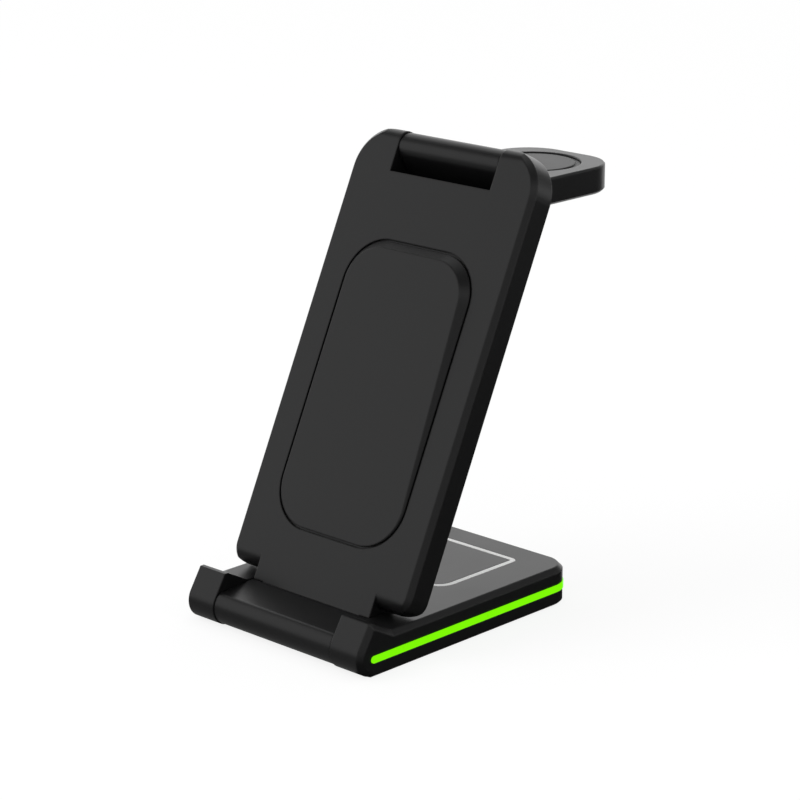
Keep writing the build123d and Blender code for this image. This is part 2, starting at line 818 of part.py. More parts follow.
with BuildPart() as panel_shell:
    # Front outline with its round corners and bevelled rims
    foot_end = panel_foot_centre - half_thickness
    with BuildSketch(panel_back) as face_outline:
        with Locations((0, (foot_end + panel_length) / 2)):
            Rectangle(width, panel_length - foot_end)
        fillet(face_outline.vertices().group_by(Axis.Y)[-1], panel_corner_radius)
        fillet(face_outline.vertices().group_by(Axis.Y)[0], panel_foot_corner_radius)
    extrude(amount=panel_thickness)
    ends = panel_shell.faces().filter_by(lambda face: abs(face.normal_at().dot(panel_forward)) > 0.99)
    front_rim = ends.sort_by(Axis.Y)[0]
    back_rim = ends.sort_by(Axis.Y)[-1]
    chamfer(front_rim.edges(), panel_front_chamfer)
    chamfer(back_rim.edges(), panel_back_chamfer)

    # Side outline: a half-round foot and a rounded top
    with BuildSketch(panel_side) as edge_outline:
        with Locations(((panel_foot_centre + panel_length) / 2, 0)):
            Rectangle(panel_length - panel_foot_centre, panel_thickness)
        fillet(edge_outline.vertices().group_by(Axis.X)[-1], panel_top_round)
        with Locations((panel_foot_centre, 0)):
            Circle(half_thickness)
    extrude(amount=half_width, both=True, mode=Mode.INTERSECT)

    # Middle of the foot, stepping in to a round tongue on the pin
    with BuildSketch(panel_side):
        with Locations((foot_height + foot_overlap / 2, 0)):
            Rectangle(foot_overlap, panel_thickness)
    extrude(amount=foot_half_width, both=True)
    with BuildSketch(panel_side):
        Circle(half_thickness)
        with Locations((foot_overlap / 2, 0)):
            Rectangle(foot_overlap, panel_thickness)
    extrude(amount=tongue_half_width, both=True)

    # Notch in the top for the watch arm's barrel
    with BuildSketch(panel_middle):
        with Locations((0, (notch_floor + panel_length) / 2 + panel_top_round)):
            Rectangle(2 * notch_half_width, panel_length - notch_floor + 2 * panel_top_round)
    extrude(amount=panel_thickness, both=True, mode=Mode.SUBTRACT)

    # Room inside and the seat of the back cover
    with BuildSketch(panel_inner_face):
        with Locations((0, cavity_middle)):
            RectangleRounded(2 * cavity_half_width, cavity_height, panel_foot_corner_radius)
    extrude(amount=-panel_thickness, mode=Mode.SUBTRACT)
    with BuildSketch(panel_cover_face):
        with Locations((0, cavity_middle)):
            RectangleRounded(
                2 * cover_half_width, cover_height, panel_foot_corner_radius + cover_rebate
            )
    extrude(amount=-panel_thickness, mode=Mode.SUBTRACT)

    # Bosses for the cover's screws, and posts for the board
    with BuildSketch(panel_cover_face):
        with Locations(*panel_screw_places):
            Circle(boss_radius)
    extrude(amount=panel_thickness - panel_cover_thickness - panel_face_wall)
    with BuildSketch(panel_cover_face):
        with Locations(*panel_screw_places):
            Circle(screw_radius + snug_gap)
    extrude(amount=screw_length - panel_cover_thickness + snug_gap, mode=Mode.SUBTRACT)
    with BuildSketch(panel_inner_face):
        with Locations(*panel_posts):
            Circle(post_radius)
    extrude(amount=-board_stand)

    # Seat for the phone pad, wider than the pad by the groove that shows round it
    with BuildSketch(panel_front):
        with Locations((0, pad_middle)):
            RectangleRounded(
                2 * (pad_half_width + pad_groove),
                pad_height + 2 * pad_groove,
                pad_corner_radius + pad_groove,
            )
    extrude(amount=-pad_recess, mode=Mode.SUBTRACT)

    # Bores for the sleeves on the lower pins and for the arm's pins
    for side in (-1, 1):
        with BuildSketch(Plane.YZ.offset(side * tongue_half_width)):
            with Locations((panel_pin_y, panel_pin_z)):
                Circle(panel_sleeve_radius + snug_gap)
        extrude(amount=-side * (sleeve_length + snug_gap), mode=Mode.SUBTRACT)
        with BuildSketch(Plane.YZ.offset(side * notch_half_width)):
            with Locations((arm_pin_y, arm_pin_z)):
                Circle(arm_pin_radius + snug_gap)
        extrude(amount=side * (pin_grip + snug_gap), mode=Mode.SUBTRACT)
save(panel_shell, "panel_shell")

with BuildPart() as panel_back_cover:
    with BuildSketch(panel_back):
        with Locations((0, cavity_middle)):
            RectangleRounded(
                2 * (cover_half_width - cover_gap),
                cover_height - 2 * cover_gap,
                panel_foot_corner_radius + cover_rebate - cover_gap,
            )
    extrude(amount=panel_cover_thickness)
    add(screw_holes(panel_outside, panel_screw_places), mode=Mode.SUBTRACT)
save(panel_back_cover, "panel_back_cover")

save(screw_group(panel_outside, panel_screw_places), "panel_screws")

panel_sleeves = sleeve_pair(
    panel_axis_plane,
    panel_pin_radius + running_gap,
    panel_sleeve_radius,
    tongue_half_width - sleeve_length,
    tongue_half_width,
)
save(panel_sleeves, "panel_sleeves")

# The pad's face rises from the panel towards the top, between sloping sides
pad_floor = panel_front.offset(-pad_recess)
with BuildPart() as phone_pad:
    with BuildSketch(pad_floor):
        with Locations((0, pad_middle)):
            RectangleRounded(2 * pad_half_width, pad_height, pad_corner_radius)
    extrude(amount=pad_recess)
    with BuildSketch(panel_front):
        with Locations((0, pad_middle)):
            RectangleRounded(2 * pad_half_width, pad_height, pad_corner_radius)
    extrude(amount=2 * pad_high, taper=pad_side_angle)
    with BuildSketch(panel_side):
        with BuildLine():
            Polyline(
                (pad_start, half_thickness + pad_low),
                (pad_end, half_thickness + pad_high),
                (pad_end, half_thickness + 3 * pad_high),
                (pad_start, half_thickness + 3 * pad_high),
                close=True,
            )
        make_face()
    extrude(amount=pad_half_width, both=True, mode=Mode.SUBTRACT)
save(phone_pad, "phone_pad")

phone_coil_places = [
    (0, pad_middle - phone_coil_spacing / 2),
    (0, pad_middle + phone_coil_spacing / 2),
]
for name, place in zip(("phone_coil_lower", "phone_coil_upper"), phone_coil_places):
    coil = coil_ring(
        panel_inner_face.offset(-coil_thickness),
        place,
        phone_coil_radius,
        phone_coil_bore,
        coil_thickness,
    )
    save(coil, name)

with BuildPart() as phone_shield:
    with BuildSketch(panel_inner_face.offset(-coil_thickness)):
        with Locations((0, pad_middle)):
            RectangleRounded(
                2 * (phone_coil_radius + shield_margin),
                phone_coil_spacing + 2 * (phone_coil_radius + shield_margin),
                post_radius,
            )
    extrude(amount=-shield_thickness)
save(phone_shield, "phone_shield")

with BuildPart() as panel_board:
    with BuildSketch(panel_inner_face.offset(-board_stand)):
        with Locations((0, panel_board_middle)):
            Rectangle(panel_board_width, panel_board_length)
    extrude(amount=-board_thickness)
save(panel_board, "panel_board")

# Watch arm, whose barrel turns in the panel's notch; measured back from its pin

arm_half_width = notch_half_width - moving_gap
arm_back_y = arm_pin_y + arm_reach
dish_y = arm_pin_y + dish_back
room_front = arm_pin_y + arm_room_front
room_back = arm_back_y - arm_wall
room_half_width = arm_half_width - arm_wall
seat_half_width = room_half_width + cover_rebate
arm_cover_top = arm_bottom_z + arm_cover_thickness
arm_room_top = arm_top_z - arm_top_wall
arm_screw_pairs = [
    (arm_screw_spread, arm_pin_y + arm_screw_front),
    (arm_screw_rear_spread, arm_pin_y + arm_screw_rear),
]
arm_screw_places = [(side * x, y) for x, y in arm_screw_pairs for side in (-1, 1)]
arm_underside = Plane(origin=(0, 0, arm_bottom_z), x_dir=(1, 0, 0), z_dir=(0, 0, -1))
arm_screw_points = [(x, -y) for x, y in arm_screw_places]
arm_board_y = room_front + arm_board_length / 2 + arm_board_margin
arm_post_x = arm_board_width / 2 - post_radius
arm_posts = [(x, arm_board_y) for x in (-arm_post_x, arm_post_x)]


def arm_plan(front_y, half, inset):
    """Plan of the arm from front_y back, drawn in by inset at the round end."""
    end = arm_back_y - inset
    with BuildSketch(mode=Mode.PRIVATE) as area:
        with Locations((0, (front_y + end) / 2)):
            Rectangle(2 * half, end - front_y)
        fillet(area.vertices().group_by(Axis.Y)[-1], arm_corner_radius - inset)
    return area.sketch


neck_front_reach = (arm_barrel_radius**2 - neck_front_drop**2) ** 0.5
neck_toe = by_panel(notch_floor + moving_gap, -clear_radius)

with BuildPart() as arm_top_shell:
    with BuildSketch(Plane.XY.offset(arm_bottom_z)):
        add(arm_plan(arm_pin_y - panel_thickness, arm_half_width, 0))
    extrude(amount=arm_thickness)
    chamfer(arm_top_shell.faces().sort_by(Axis.Z)[-1].edges(), arm_edge_chamfer)
    chamfer(arm_top_shell.faces().sort_by(Axis.Z)[0].edges(), arm_bottom_chamfer)
    # The front end stands off the panel's back, parallel to it
    with BuildSketch(Plane.YZ):
        with BuildLine():
            Polyline(
                by_panel(0, -clear_radius),
                by_panel(2 * panel_length, -clear_radius),
                by_panel(2 * panel_length, panel_length),
                by_panel(0, panel_length),
                close=True,
            )
        make_face()
    extrude(amount=width, both=True, mode=Mode.SUBTRACT)

    # Barrel, and the neck that fills the notch behind and below it
    with BuildSketch(Plane.YZ):
        with Locations((arm_pin_y, arm_pin_z)):
            Circle(arm_barrel_radius)
        with BuildLine():
            Polyline(
                (arm_pin_y, arm_pin_z),
                (arm_pin_y - neck_front_reach, arm_pin_z - neck_front_drop),
                neck_toe,
                (arm_pin_y + neck_back, neck_toe[1]),
                (arm_pin_y + neck_back, arm_top_z),
                (arm_pin_y + arm_barrel_radius, arm_pin_z),
                close=True,
            )
        make_face()
    extrude(amount=arm_half_width, both=True)

    # Room inside and the seat of the bottom cover
    with BuildSketch(Plane.XY.offset(arm_cover_top)):
        add(arm_plan(room_front, room_half_width, arm_wall))
    extrude(amount=arm_room_top - arm_cover_top, mode=Mode.SUBTRACT)
    with BuildSketch(Plane.XY.offset(arm_bottom_z)):
        add(arm_plan(room_front - cover_rebate, seat_half_width, arm_wall - cover_rebate))
    extrude(amount=arm_cover_thickness, mode=Mode.SUBTRACT)
    with BuildSketch(Plane.XY.offset(arm_cover_top)):
        with Locations(*arm_screw_places):
            Circle(boss_radius)
    extrude(amount=arm_room_top - arm_cover_top)
    with BuildSketch(Plane.XY.offset(arm_cover_top)):
        with Locations(*arm_screw_places):
            Circle(screw_radius + snug_gap)
    extrude(amount=screw_length - arm_cover_thickness + snug_gap, mode=Mode.SUBTRACT)

    # Round seat for the watch dish
    with BuildSketch(Plane.XY.offset(arm_top_z - dish_seat_depth)):
        with Locations((0, dish_y)):
            Circle(dish_radius)
    extrude(amount=dish_seat_depth, mode=Mode.SUBTRACT)
    seat_rims = arm_top_shell.edges().filter_by(GeomType.CIRCLE)
    fillet(seat_rims.sort_by_distance((0, dish_y, arm_top_z + dish_radius))[0], dish_rim_round)

    # Bores for the sleeves on the arm's pins
    for side in (-1, 1):
        with BuildSketch(arm_side.offset(side * arm_half_width)):
            Circle(arm_sleeve_radius + snug_gap)
        extrude(amount=-side * (sleeve_length + snug_gap), mode=Mode.SUBTRACT)
save(arm_top_shell, "arm_top_shell")

with BuildPart() as arm_bottom_cover:
    with BuildSketch(Plane.XY.offset(arm_bottom_z)):
        add(
            arm_plan(
                room_front - cover_rebate + cover_gap,
                seat_half_width - cover_gap,
                arm_wall - cover_rebate + cover_gap,
            )
        )
    extrude(amount=arm_cover_thickness)
    with BuildSketch(Plane.XY.offset(arm_cover_top)):
        with Locations(*arm_posts):
            Circle(post_radius)
    extrude(amount=arm_board_stand)
    add(screw_holes(arm_underside, arm_screw_points), mode=Mode.SUBTRACT)
save(arm_bottom_cover, "arm_bottom_cover")

save(screw_group(arm_underside, arm_screw_points), "arm_screws")

with BuildPart() as watch_dish:
    with BuildSketch(Plane.XY.offset(arm_top_z - dish_seat_depth)):
        with Locations((0, dish_y)):
            Circle(dish_radius - cover_gap)
    extrude(amount=dish_thickness)
save(watch_dish, "watch_dish")

watch_coil_plane = Plane.XY.offset(arm_room_top - coil_thickness)
watch_coil = coil_ring(
    watch_coil_plane, (0, dish_y), watch_coil_radius, watch_coil_bore, coil_thickness
)
save(watch_coil, "watch_coil")

with BuildPart() as watch_magnet:
    with BuildSketch(watch_coil_plane):
        with Locations((0, dish_y)):
            Circle(watch_magnet_radius)
    extrude(amount=coil_thickness)
save(watch_magnet, "watch_magnet")

with BuildPart() as watch_shield:
    with BuildSketch(watch_coil_plane):
        with Locations((0, dish_y)):
            Circle(watch_coil_radius + shield_margin)
    extrude(amount=-shield_thickness)
save(watch_shield, "watch_shield")

with BuildPart() as arm_board:
    with BuildSketch(Plane.XY.offset(arm_cover_top + arm_board_stand)):
        with Locations((0, arm_board_y)):
            Rectangle(arm_board_width, arm_board_length)
    extrude(amount=board_thickness)
save(arm_board, "arm_board")

arm_pins = pin_pair(
    arm_side, arm_pin_radius, arm_half_width - pin_grip, notch_half_width + pin_grip
)
save(arm_pins, "arm_pins")

arm_sleeves = sleeve_pair(
    arm_side,
    arm_pin_radius + running_gap,
    arm_sleeve_radius,
    arm_half_width - sleeve_length,
    arm_half_width,
)
save(arm_sleeves, "arm_sleeves")
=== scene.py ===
import bmesh
import bpy
import json
from math import cos, pi, radians, sin
from mathutils import Matrix, Vector


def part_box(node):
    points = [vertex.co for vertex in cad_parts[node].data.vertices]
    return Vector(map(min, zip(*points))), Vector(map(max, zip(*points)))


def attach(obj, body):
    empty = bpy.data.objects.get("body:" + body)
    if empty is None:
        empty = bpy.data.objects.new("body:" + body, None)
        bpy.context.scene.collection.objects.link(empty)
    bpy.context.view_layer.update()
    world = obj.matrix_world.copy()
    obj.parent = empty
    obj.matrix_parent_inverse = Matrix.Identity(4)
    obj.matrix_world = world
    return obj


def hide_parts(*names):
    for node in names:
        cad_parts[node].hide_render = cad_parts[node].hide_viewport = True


# The looks of a folding charging station: satin black mouldings, a phone pad,
# a watch dish and two green light strips. Metres, +Z up, +Y to the back.

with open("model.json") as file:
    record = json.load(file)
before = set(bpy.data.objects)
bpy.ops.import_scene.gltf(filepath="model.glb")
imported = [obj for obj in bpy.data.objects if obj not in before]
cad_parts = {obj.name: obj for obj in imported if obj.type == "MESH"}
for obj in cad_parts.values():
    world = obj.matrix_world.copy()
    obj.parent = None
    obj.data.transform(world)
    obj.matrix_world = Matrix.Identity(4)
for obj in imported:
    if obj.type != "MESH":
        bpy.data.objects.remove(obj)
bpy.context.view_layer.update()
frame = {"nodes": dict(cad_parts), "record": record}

# Camera, found from the photograph's edges
CAMERA_PLACE = (0.58270, -0.60215, 0.32010)
CAMERA_AZIMUTH = 43.654
CAMERA_ELEVATION = 16.606
FOCAL_LENGTH_MM = 124.74
SENSOR_WIDTH_MM = 36.0

# Finish of the black mouldings: gloss, and the sizes of grain and clouds in it
BLACK = (0.0040, 0.0040, 0.0042)
PLASTIC_ROUGHNESS = 0.34
PLASTIC_SPECULAR = 0.36
DISH_ROUGHNESS = 0.44
EDGE_RADIUS = 0.0007
SHELL_GRAIN = 0.00022
SHELL_GRAIN_DEPTH = 0.000004
PAD_GRAIN = 0.00016
CLOUD_SIZE = 0.018
PLASTIC_TONE_CHANGE = 0.06

# Haze in the light strips
HAZE_SIZE = 0.004
HAZE_TONE_CHANGE = 0.05
GLOW_TONE_CHANGE = 0.03

# Rubbing marks and clouds on metal
RUB_SIZE = 0.00003
RUB_DEPTH = 0.0000006
RUB_STRETCH = (0.08, 1.0, 1.0)
METAL_CLOUD_SIZE = 0.003
METAL_TONE_CHANGE = 0.08

# Colours of the rest
LIGHT_GREEN = (0.205, 0.92, 0.001)
UNLIT_GREEN = (0.004, 0.02, 0.0)
LINE_WHITE = (0.90, 0.90, 0.89)
MAT_GREY = (0.020, 0.020, 0.021)
BOARD_GREEN = (0.02, 0.14, 0.06)
CHIP_BLACK = (0.02, 0.02, 0.02)
LAMP_CREAM = (0.80, 0.76, 0.60)
NICKEL = (0.62, 0.60, 0.57)
STEEL = (0.55, 0.55, 0.56)
BLACK_ZINC = (0.045, 0.045, 0.048)
COPPER = (0.72, 0.36, 0.20)
GILT = (0.80, 0.58, 0.24)
FERRITE_GREY = (0.055, 0.055, 0.058)

WHITE = (1.0, 1.0, 1.0, 1.0)
FLOOR_PAPER = (0.9, 0.9, 0.9, 1.0)

# Sockets of a Mix node that mixes colours
FIRST_COLOUR = 6
SECOND_COLOUR = 7
MIXED_COLOUR = 2

# Studio: the floor, where FLOOR_GLOW of it is pure white to the eye and the rest
# takes the shadow, one softbox, and the height of the cards overhead
FLOOR_HALF = 3.0
FLOOR_GLOW = 0.85
KEY_PLACE = (-0.7, -0.9, 1.3)
KEY_AIM = (0.0, 0.0, 0.07)
KEY_SIZE = 0.9
KEY_WATTS = 9.0
CEILING = 1.3

# Supply socket: rubbing on its shell, the tongue and the contacts on it
SHELL_RUB_SIZE = 0.0008
SHELL_TONE_CHANGE = 0.06
TONGUE_HALF_WIDTH = 0.0034
TONGUE_HALF_THICKNESS = 0.00038
CONTACT_PITCH = 0.0005
CONTACT_ROW_HALF = 0.00285

# Watch dish, whose crown stands nearly level with the arm inside a narrow groove
DISH_SEAT_DEPTH = 0.0016
DISH_BELOW_ARM = 0.00018
DISH_GROOVE = 0.0018
DISH_EDGE_ROUND = 0.00015
DISH_SIDES = 160
SHARP_ANGLE = 30

# Flat-wound coils, one layer of round wire each. The phone's lie in the panel,
# which leans back from upright by PANEL_LEAN degrees
WIRE_RADIUS = 0.00062
TURN_PITCH = 0.0013
STEPS_IN_A_TURN = 48
SIDES_OF_THE_WIRE = 8
EARBUD_COIL_BORE = 0.008
PHONE_COIL_BORE = 0.009
WATCH_COIL_BORE = 0.006
PANEL_LEAN = 25.24


class Wire:
    """One value in a node tree, which can be used in ordinary sums."""

    def __init__(self, recipe, socket):
        self.recipe = recipe
        self.socket = socket

    def sum(self, operation, first, second):
        return self.recipe.node("ShaderNodeMath", {"operation": operation}, {0: first, 1: second})

    def __add__(self, other):
        return self.sum("ADD", self, other)

    def __radd__(self, other):
        return self.sum("ADD", other, self)

    def __sub__(self, other):
        return self.sum("SUBTRACT", self, other)

    def __rsub__(self, other):
        return self.sum("SUBTRACT", other, self)

    def __mul__(self, other):
        return self.sum("MULTIPLY", self, other)

    def __rmul__(self, other):
        return self.sum("MULTIPLY", other, self)

    def __truediv__(self, other):
        return self.sum("DIVIDE", self, other)

    def __rtruediv__(self, other):
        return self.sum("DIVIDE", other, self)

    def __abs__(self):
        return self.sum("ABSOLUTE", self, 0.0)

    def __lt__(self, other):
        return self.sum("LESS_THAN", self, other)


class Recipe:
    """A node tree in the making, for a finish, the world or a shape."""

    def __init__(self, tree):
        self.tree = tree
        self.tree.nodes.clear()

    def node(self, kind, settings=None, sockets=None, output=0):
        """Add a node, set it up, feed its sockets and return one of its outputs."""
        made = self.tree.nodes.new(kind)
        for name, value in (settings or {}).items():
            setattr(made, name, value)
        for name, value in (sockets or {}).items():
            if isinstance(value, Wire):
                self.tree.links.new(value.socket, made.inputs[name])
            else:
                made.inputs[name].default_value = value
        return Wire(self, made.outputs[output]) if made.outputs else made


def new_finish(name):
    """An empty material and the recipe that fills it."""
    material = bpy.data.materials.new(name)
    material.use_nodes = True
    return material, Recipe(material.node_tree)


def noise(recipe, place, size, detail=2.0, roughness=0.5):
    """Soft noise whose spots are about as large as size."""
    return recipe.node(
        "ShaderNodeTexNoise",
        None,
        {"Vector": place, "Scale": 1.0 / size, "Detail": detail, "Roughness": roughness},
    )


def shade(recipe, colour, amount, mask):
    """The colour, lighter and darker by amount where the mask is high and low."""
    dark = tuple(c * (1.0 - amount) for c in colour) + (1.0,)
    light = tuple(c * (1.0 + amount) for c in colour) + (1.0,)
    return recipe.node(
        "ShaderNodeMix",
        {"data_type": "RGBA"},
        {"Factor": mask, FIRST_COLOUR: dark, SECOND_COLOUR: light},
        output=MIXED_COLOUR,
    )


def moulded_plastic(name, colour, roughness, grain=SHELL_GRAIN, grain_depth=SHELL_GRAIN_DEPTH):
    """Moulded plastic with a fine spark-eroded grain and a slow change of gloss."""
    material, recipe = new_finish(name)
    place = recipe.node("ShaderNodeTexCoord", output="Object")
    fine = noise(recipe, place, grain, detail=1.0)
    cloud = noise(recipe, place, CLOUD_SIZE, detail=3.0)
    edge = recipe.node("ShaderNodeBevel", {"samples": 4}, {"Radius": EDGE_RADIUS})
    bump = recipe.node(
        "ShaderNodeBump",
        None,
        {"Strength": 1.0, "Distance": grain_depth, "Height": fine, "Normal": edge},
    )
    shader = recipe.node(
        "ShaderNodeBsdfPrincipled",
        None,
        {
            "Base Color": shade(recipe, colour, PLASTIC_TONE_CHANGE, cloud),
            "Roughness": roughness - 0.03 + cloud * 0.05 + fine * 0.01,
            "Specular IOR Level": PLASTIC_SPECULAR,
            "Normal": bump,
        },
    )
    recipe.node("ShaderNodeOutputMaterial", None, {"Surface": shader})
    return material


def glowing_guide(name, colour, strength):
    """A milky light guide with its lamps lit behind it."""
    material, recipe = new_finish(name)
    place = recipe.node("ShaderNodeTexCoord", output="Object")
    haze = noise(recipe, place, HAZE_SIZE, detail=2.0)
    shader = recipe.node(
        "ShaderNodeBsdfPrincipled",
        None,
        {
            "Base Color": shade(recipe, UNLIT_GREEN, HAZE_TONE_CHANGE, haze),
            "Specular IOR Level": 0.1,
            "Roughness": 0.25 + haze * 0.08,
            "Emission Color": shade(recipe, colour, GLOW_TONE_CHANGE, haze),
            "Emission Strength": strength,
        },
    )
    recipe.node("ShaderNodeOutputMaterial", None, {"Surface": shader})
    return material


def metal(name, colour, roughness):
    """Bright or plated metal with fine rubbing marks."""
    material, recipe = new_finish(name)
    place = recipe.node("ShaderNodeTexCoord", output="Object")
    stretched = recipe.node("ShaderNodeMapping", None, {"Vector": place, "Scale": RUB_STRETCH})
    marks = noise(recipe, stretched, RUB_SIZE, detail=3.0)
    cloud = noise(recipe, place, METAL_CLOUD_SIZE)
    bump = recipe.node("ShaderNodeBump", None, {"Distance": RUB_DEPTH, "Height": marks})
    shader = recipe.node(
        "ShaderNodeBsdfPrincipled",
        None,
        {
            "Base Color": shade(recipe, colour, METAL_TONE_CHANGE, cloud),
            "Metallic": 1.0,
            "Roughness": roughness - 0.04 + marks * 0.08,
            "Normal": bump,
        },
    )
    recipe.node("ShaderNodeOutputMaterial", None, {"Surface": shader})
    return material


def socket_finish(name, colour):
    """Nickel-plated shell with a black tongue that carries a row of gilt contacts."""
    low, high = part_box("supply_socket")
    middle_z = (low[2] + high[2]) / 2
    material, recipe = new_finish(name)
    place = recipe.node("ShaderNodeTexCoord", output="Object")
    across = recipe.node("ShaderNodeSeparateXYZ", None, {"Vector": place}, "X")
    level = recipe.node("ShaderNodeSeparateXYZ", None, {"Vector": place}, "Z") - middle_z
    on_tongue = (abs(across) < TONGUE_HALF_WIDTH) * (abs(level) < TONGUE_HALF_THICKNESS)
    stripe = recipe.node(
        "ShaderNodeMath", {"operation": "PINGPONG"}, {0: across, 1: CONTACT_PITCH / 2}
    )
    gilt = on_tongue * (stripe < CONTACT_PITCH / 4) * (abs(across) < CONTACT_ROW_HALF)
    rubbed = noise(recipe, place, SHELL_RUB_SIZE, detail=3.0)
    metallic = 1.0 - on_tongue + gilt
    shell = shade(recipe, colour, SHELL_TONE_CHANGE, rubbed)
    base = recipe.node(
        "ShaderNodeMix",
        {"data_type": "RGBA"},
        {"Factor": on_tongue, FIRST_COLOUR: shell, SECOND_COLOUR: CHIP_BLACK + (1.0,)},
        output=MIXED_COLOUR,
    )
    base = recipe.node(
        "ShaderNodeMix",
        {"data_type": "RGBA"},
        {"Factor": gilt, FIRST_COLOUR: base, SECOND_COLOUR: GILT + (1.0,)},
        output=MIXED_COLOUR,
    )
    shader = recipe.node(
        "ShaderNodeBsdfPrincipled",
        None,
        {"Base Color": base, "Metallic": metallic, "Roughness": 0.24 + rubbed * 0.08},
    )
    recipe.node("ShaderNodeOutputMaterial", None, {"Surface": shader})
    return material


plastic = moulded_plastic("satin_black_plastic", BLACK, PLASTIC_ROUGHNESS)
pad_skin = moulded_plastic("phone_pad_skin", BLACK, PLASTIC_ROUGHNESS, grain=PAD_GRAIN)
dish_skin = moulded_plastic("watch_dish_skin", BLACK, DISH_ROUGHNESS, grain=PAD_GRAIN)
cover_skin = moulded_plastic(
    "matte_cover_plastic", BLACK, roughness=0.55, grain=0.0003, grain_depth=0.000008
)
mat_skin = moulded_plastic(
    "silicone_skin", MAT_GREY, roughness=0.7, grain=0.0005, grain_depth=0.00002
)
line_ink = moulded_plastic("white_line_plastic", LINE_WHITE, roughness=0.5)
board_skin = moulded_plastic("board_lacquer", BOARD_GREEN, roughness=0.35)
chip_skin = moulded_plastic("chip_moulding", CHIP_BLACK, roughness=0.6)
lamp_skin = moulded_plastic("lamp_lens", LAMP_CREAM, roughness=0.3)
ferrite_skin = moulded_plastic("ferrite_sheet", FERRITE_GREY, roughness=0.6)
green_guide = glowing_guide("green_light_guide", LIGHT_GREEN, strength=1.0)
nickel = socket_finish("nickel_plating", NICKEL)
steel = metal("bright_steel", STEEL, roughness=0.3)
black_zinc = metal("black_zinc_plating", BLACK_ZINC, roughness=0.45)
copper = metal("copper_wire", COPPER, roughness=0.35)

finishes = {
    "base_plastic": plastic,
    "lip_plastic": plastic,
    "panel_plastic": plastic,
    "arm_plastic": plastic,
    "pad_plastic": pad_skin,
    "dish_plastic": dish_skin,
    "cover_plastic": cover_skin,
    "silicone_mat": mat_skin,
    "green_light": green_guide,
    "lamp_white": lamp_skin,
    "white_line": line_ink,
    "board_green": board_skin,
    "chip_black": chip_skin,
    "socket_steel": nickel,
    "steel": steel,
    "dark_steel": black_zinc,
    "copper_wire": copper,
    "ferrite": ferrite_skin,
}
for part in frame["record"]["subparts"]:
    node = frame["nodes"][part["node"]]
    node.data.materials.clear()
    node.data.materials.append(finishes[part["material_slot"]])


def winding_tree():
    """A flat spiral of wire from a bore to an outer edge, one layer thick."""
    tree = bpy.data.node_groups.new("flat_winding", "GeometryNodeTree")
    sizes = ("Bore", "Outer Radius", "Wire Radius", "Turn Pitch")
    for name in sizes:
        tree.interface.new_socket(name, in_out="INPUT", socket_type="NodeSocketFloat")
    tree.interface.new_socket("Finish", in_out="INPUT", socket_type="NodeSocketMaterial")
    tree.interface.new_socket("Geometry", in_out="OUTPUT", socket_type="NodeSocketGeometry")
    recipe = Recipe(tree)
    bore, outer, wire, pitch, finish = (
        recipe.node("NodeGroupInput", output=name) for name in (*sizes, "Finish")
    )
    start = bore + wire
    end = outer - wire
    spiral = recipe.node(
        "GeometryNodeCurveSpiral",
        None,
        {
            "Resolution": STEPS_IN_A_TURN,
            "Rotations": (end - start) / pitch,
            "Start Radius": start,
            "End Radius": end,
            "Height": 0.0,
        },
    )
    section = recipe.node(
        "GeometryNodeCurvePrimitiveCircle", None, {"Resolution": SIDES_OF_THE_WIRE, "Radius": wire}
    )
    wound = recipe.node(
        "GeometryNodeCurveToMesh",
        None,
        {"Curve": spiral, "Profile Curve": section, "Fill Caps": True},
    )
    real = recipe.node("GeometryNodeRealizeInstances", None, {"Geometry": wound})
    coated = recipe.node("GeometryNodeSetMaterial", None, {"Geometry": real, "Material": finish})
    recipe.node("NodeGroupOutput", None, {"Geometry": coated})
    return tree


def wind_coil(tree, node, body, bore, tilt):
    """A wound coil in the place of a plain ring, in a plane tilted back about the X axis."""
    low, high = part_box(node)
    middle = (Vector(low) + Vector(high)) / 2
    name = node + "_winding"
    coil = bpy.data.objects.new(name, bpy.data.meshes.new(name))
    bpy.context.scene.collection.objects.link(coil)
    modifier = coil.modifiers.new("winding", "NODES")
    modifier.node_group = tree
    values = {
        "Bore": bore,
        "Outer Radius": (high[0] - low[0]) / 2,
        "Wire Radius": WIRE_RADIUS,
        "Turn Pitch": TURN_PITCH,
        "Finish": copper,
    }
    for item in tree.interface.items_tree:
        if item.in_out == "INPUT":
            modifier[item.identifier] = values[item.name]
    bpy.context.view_layer.update()
    wound = coil.evaluated_get(bpy.context.evaluated_depsgraph_get())
    mesh = bpy.data.meshes.new_from_object(wound)
    coil.modifiers.clear()
    mesh.name = name
    mesh.transform(Matrix.Translation(middle) @ Matrix.Rotation(tilt, 4, "X"))
    mesh.shade_smooth()
    coil.data = mesh
    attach(coil, body)
    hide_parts(node)


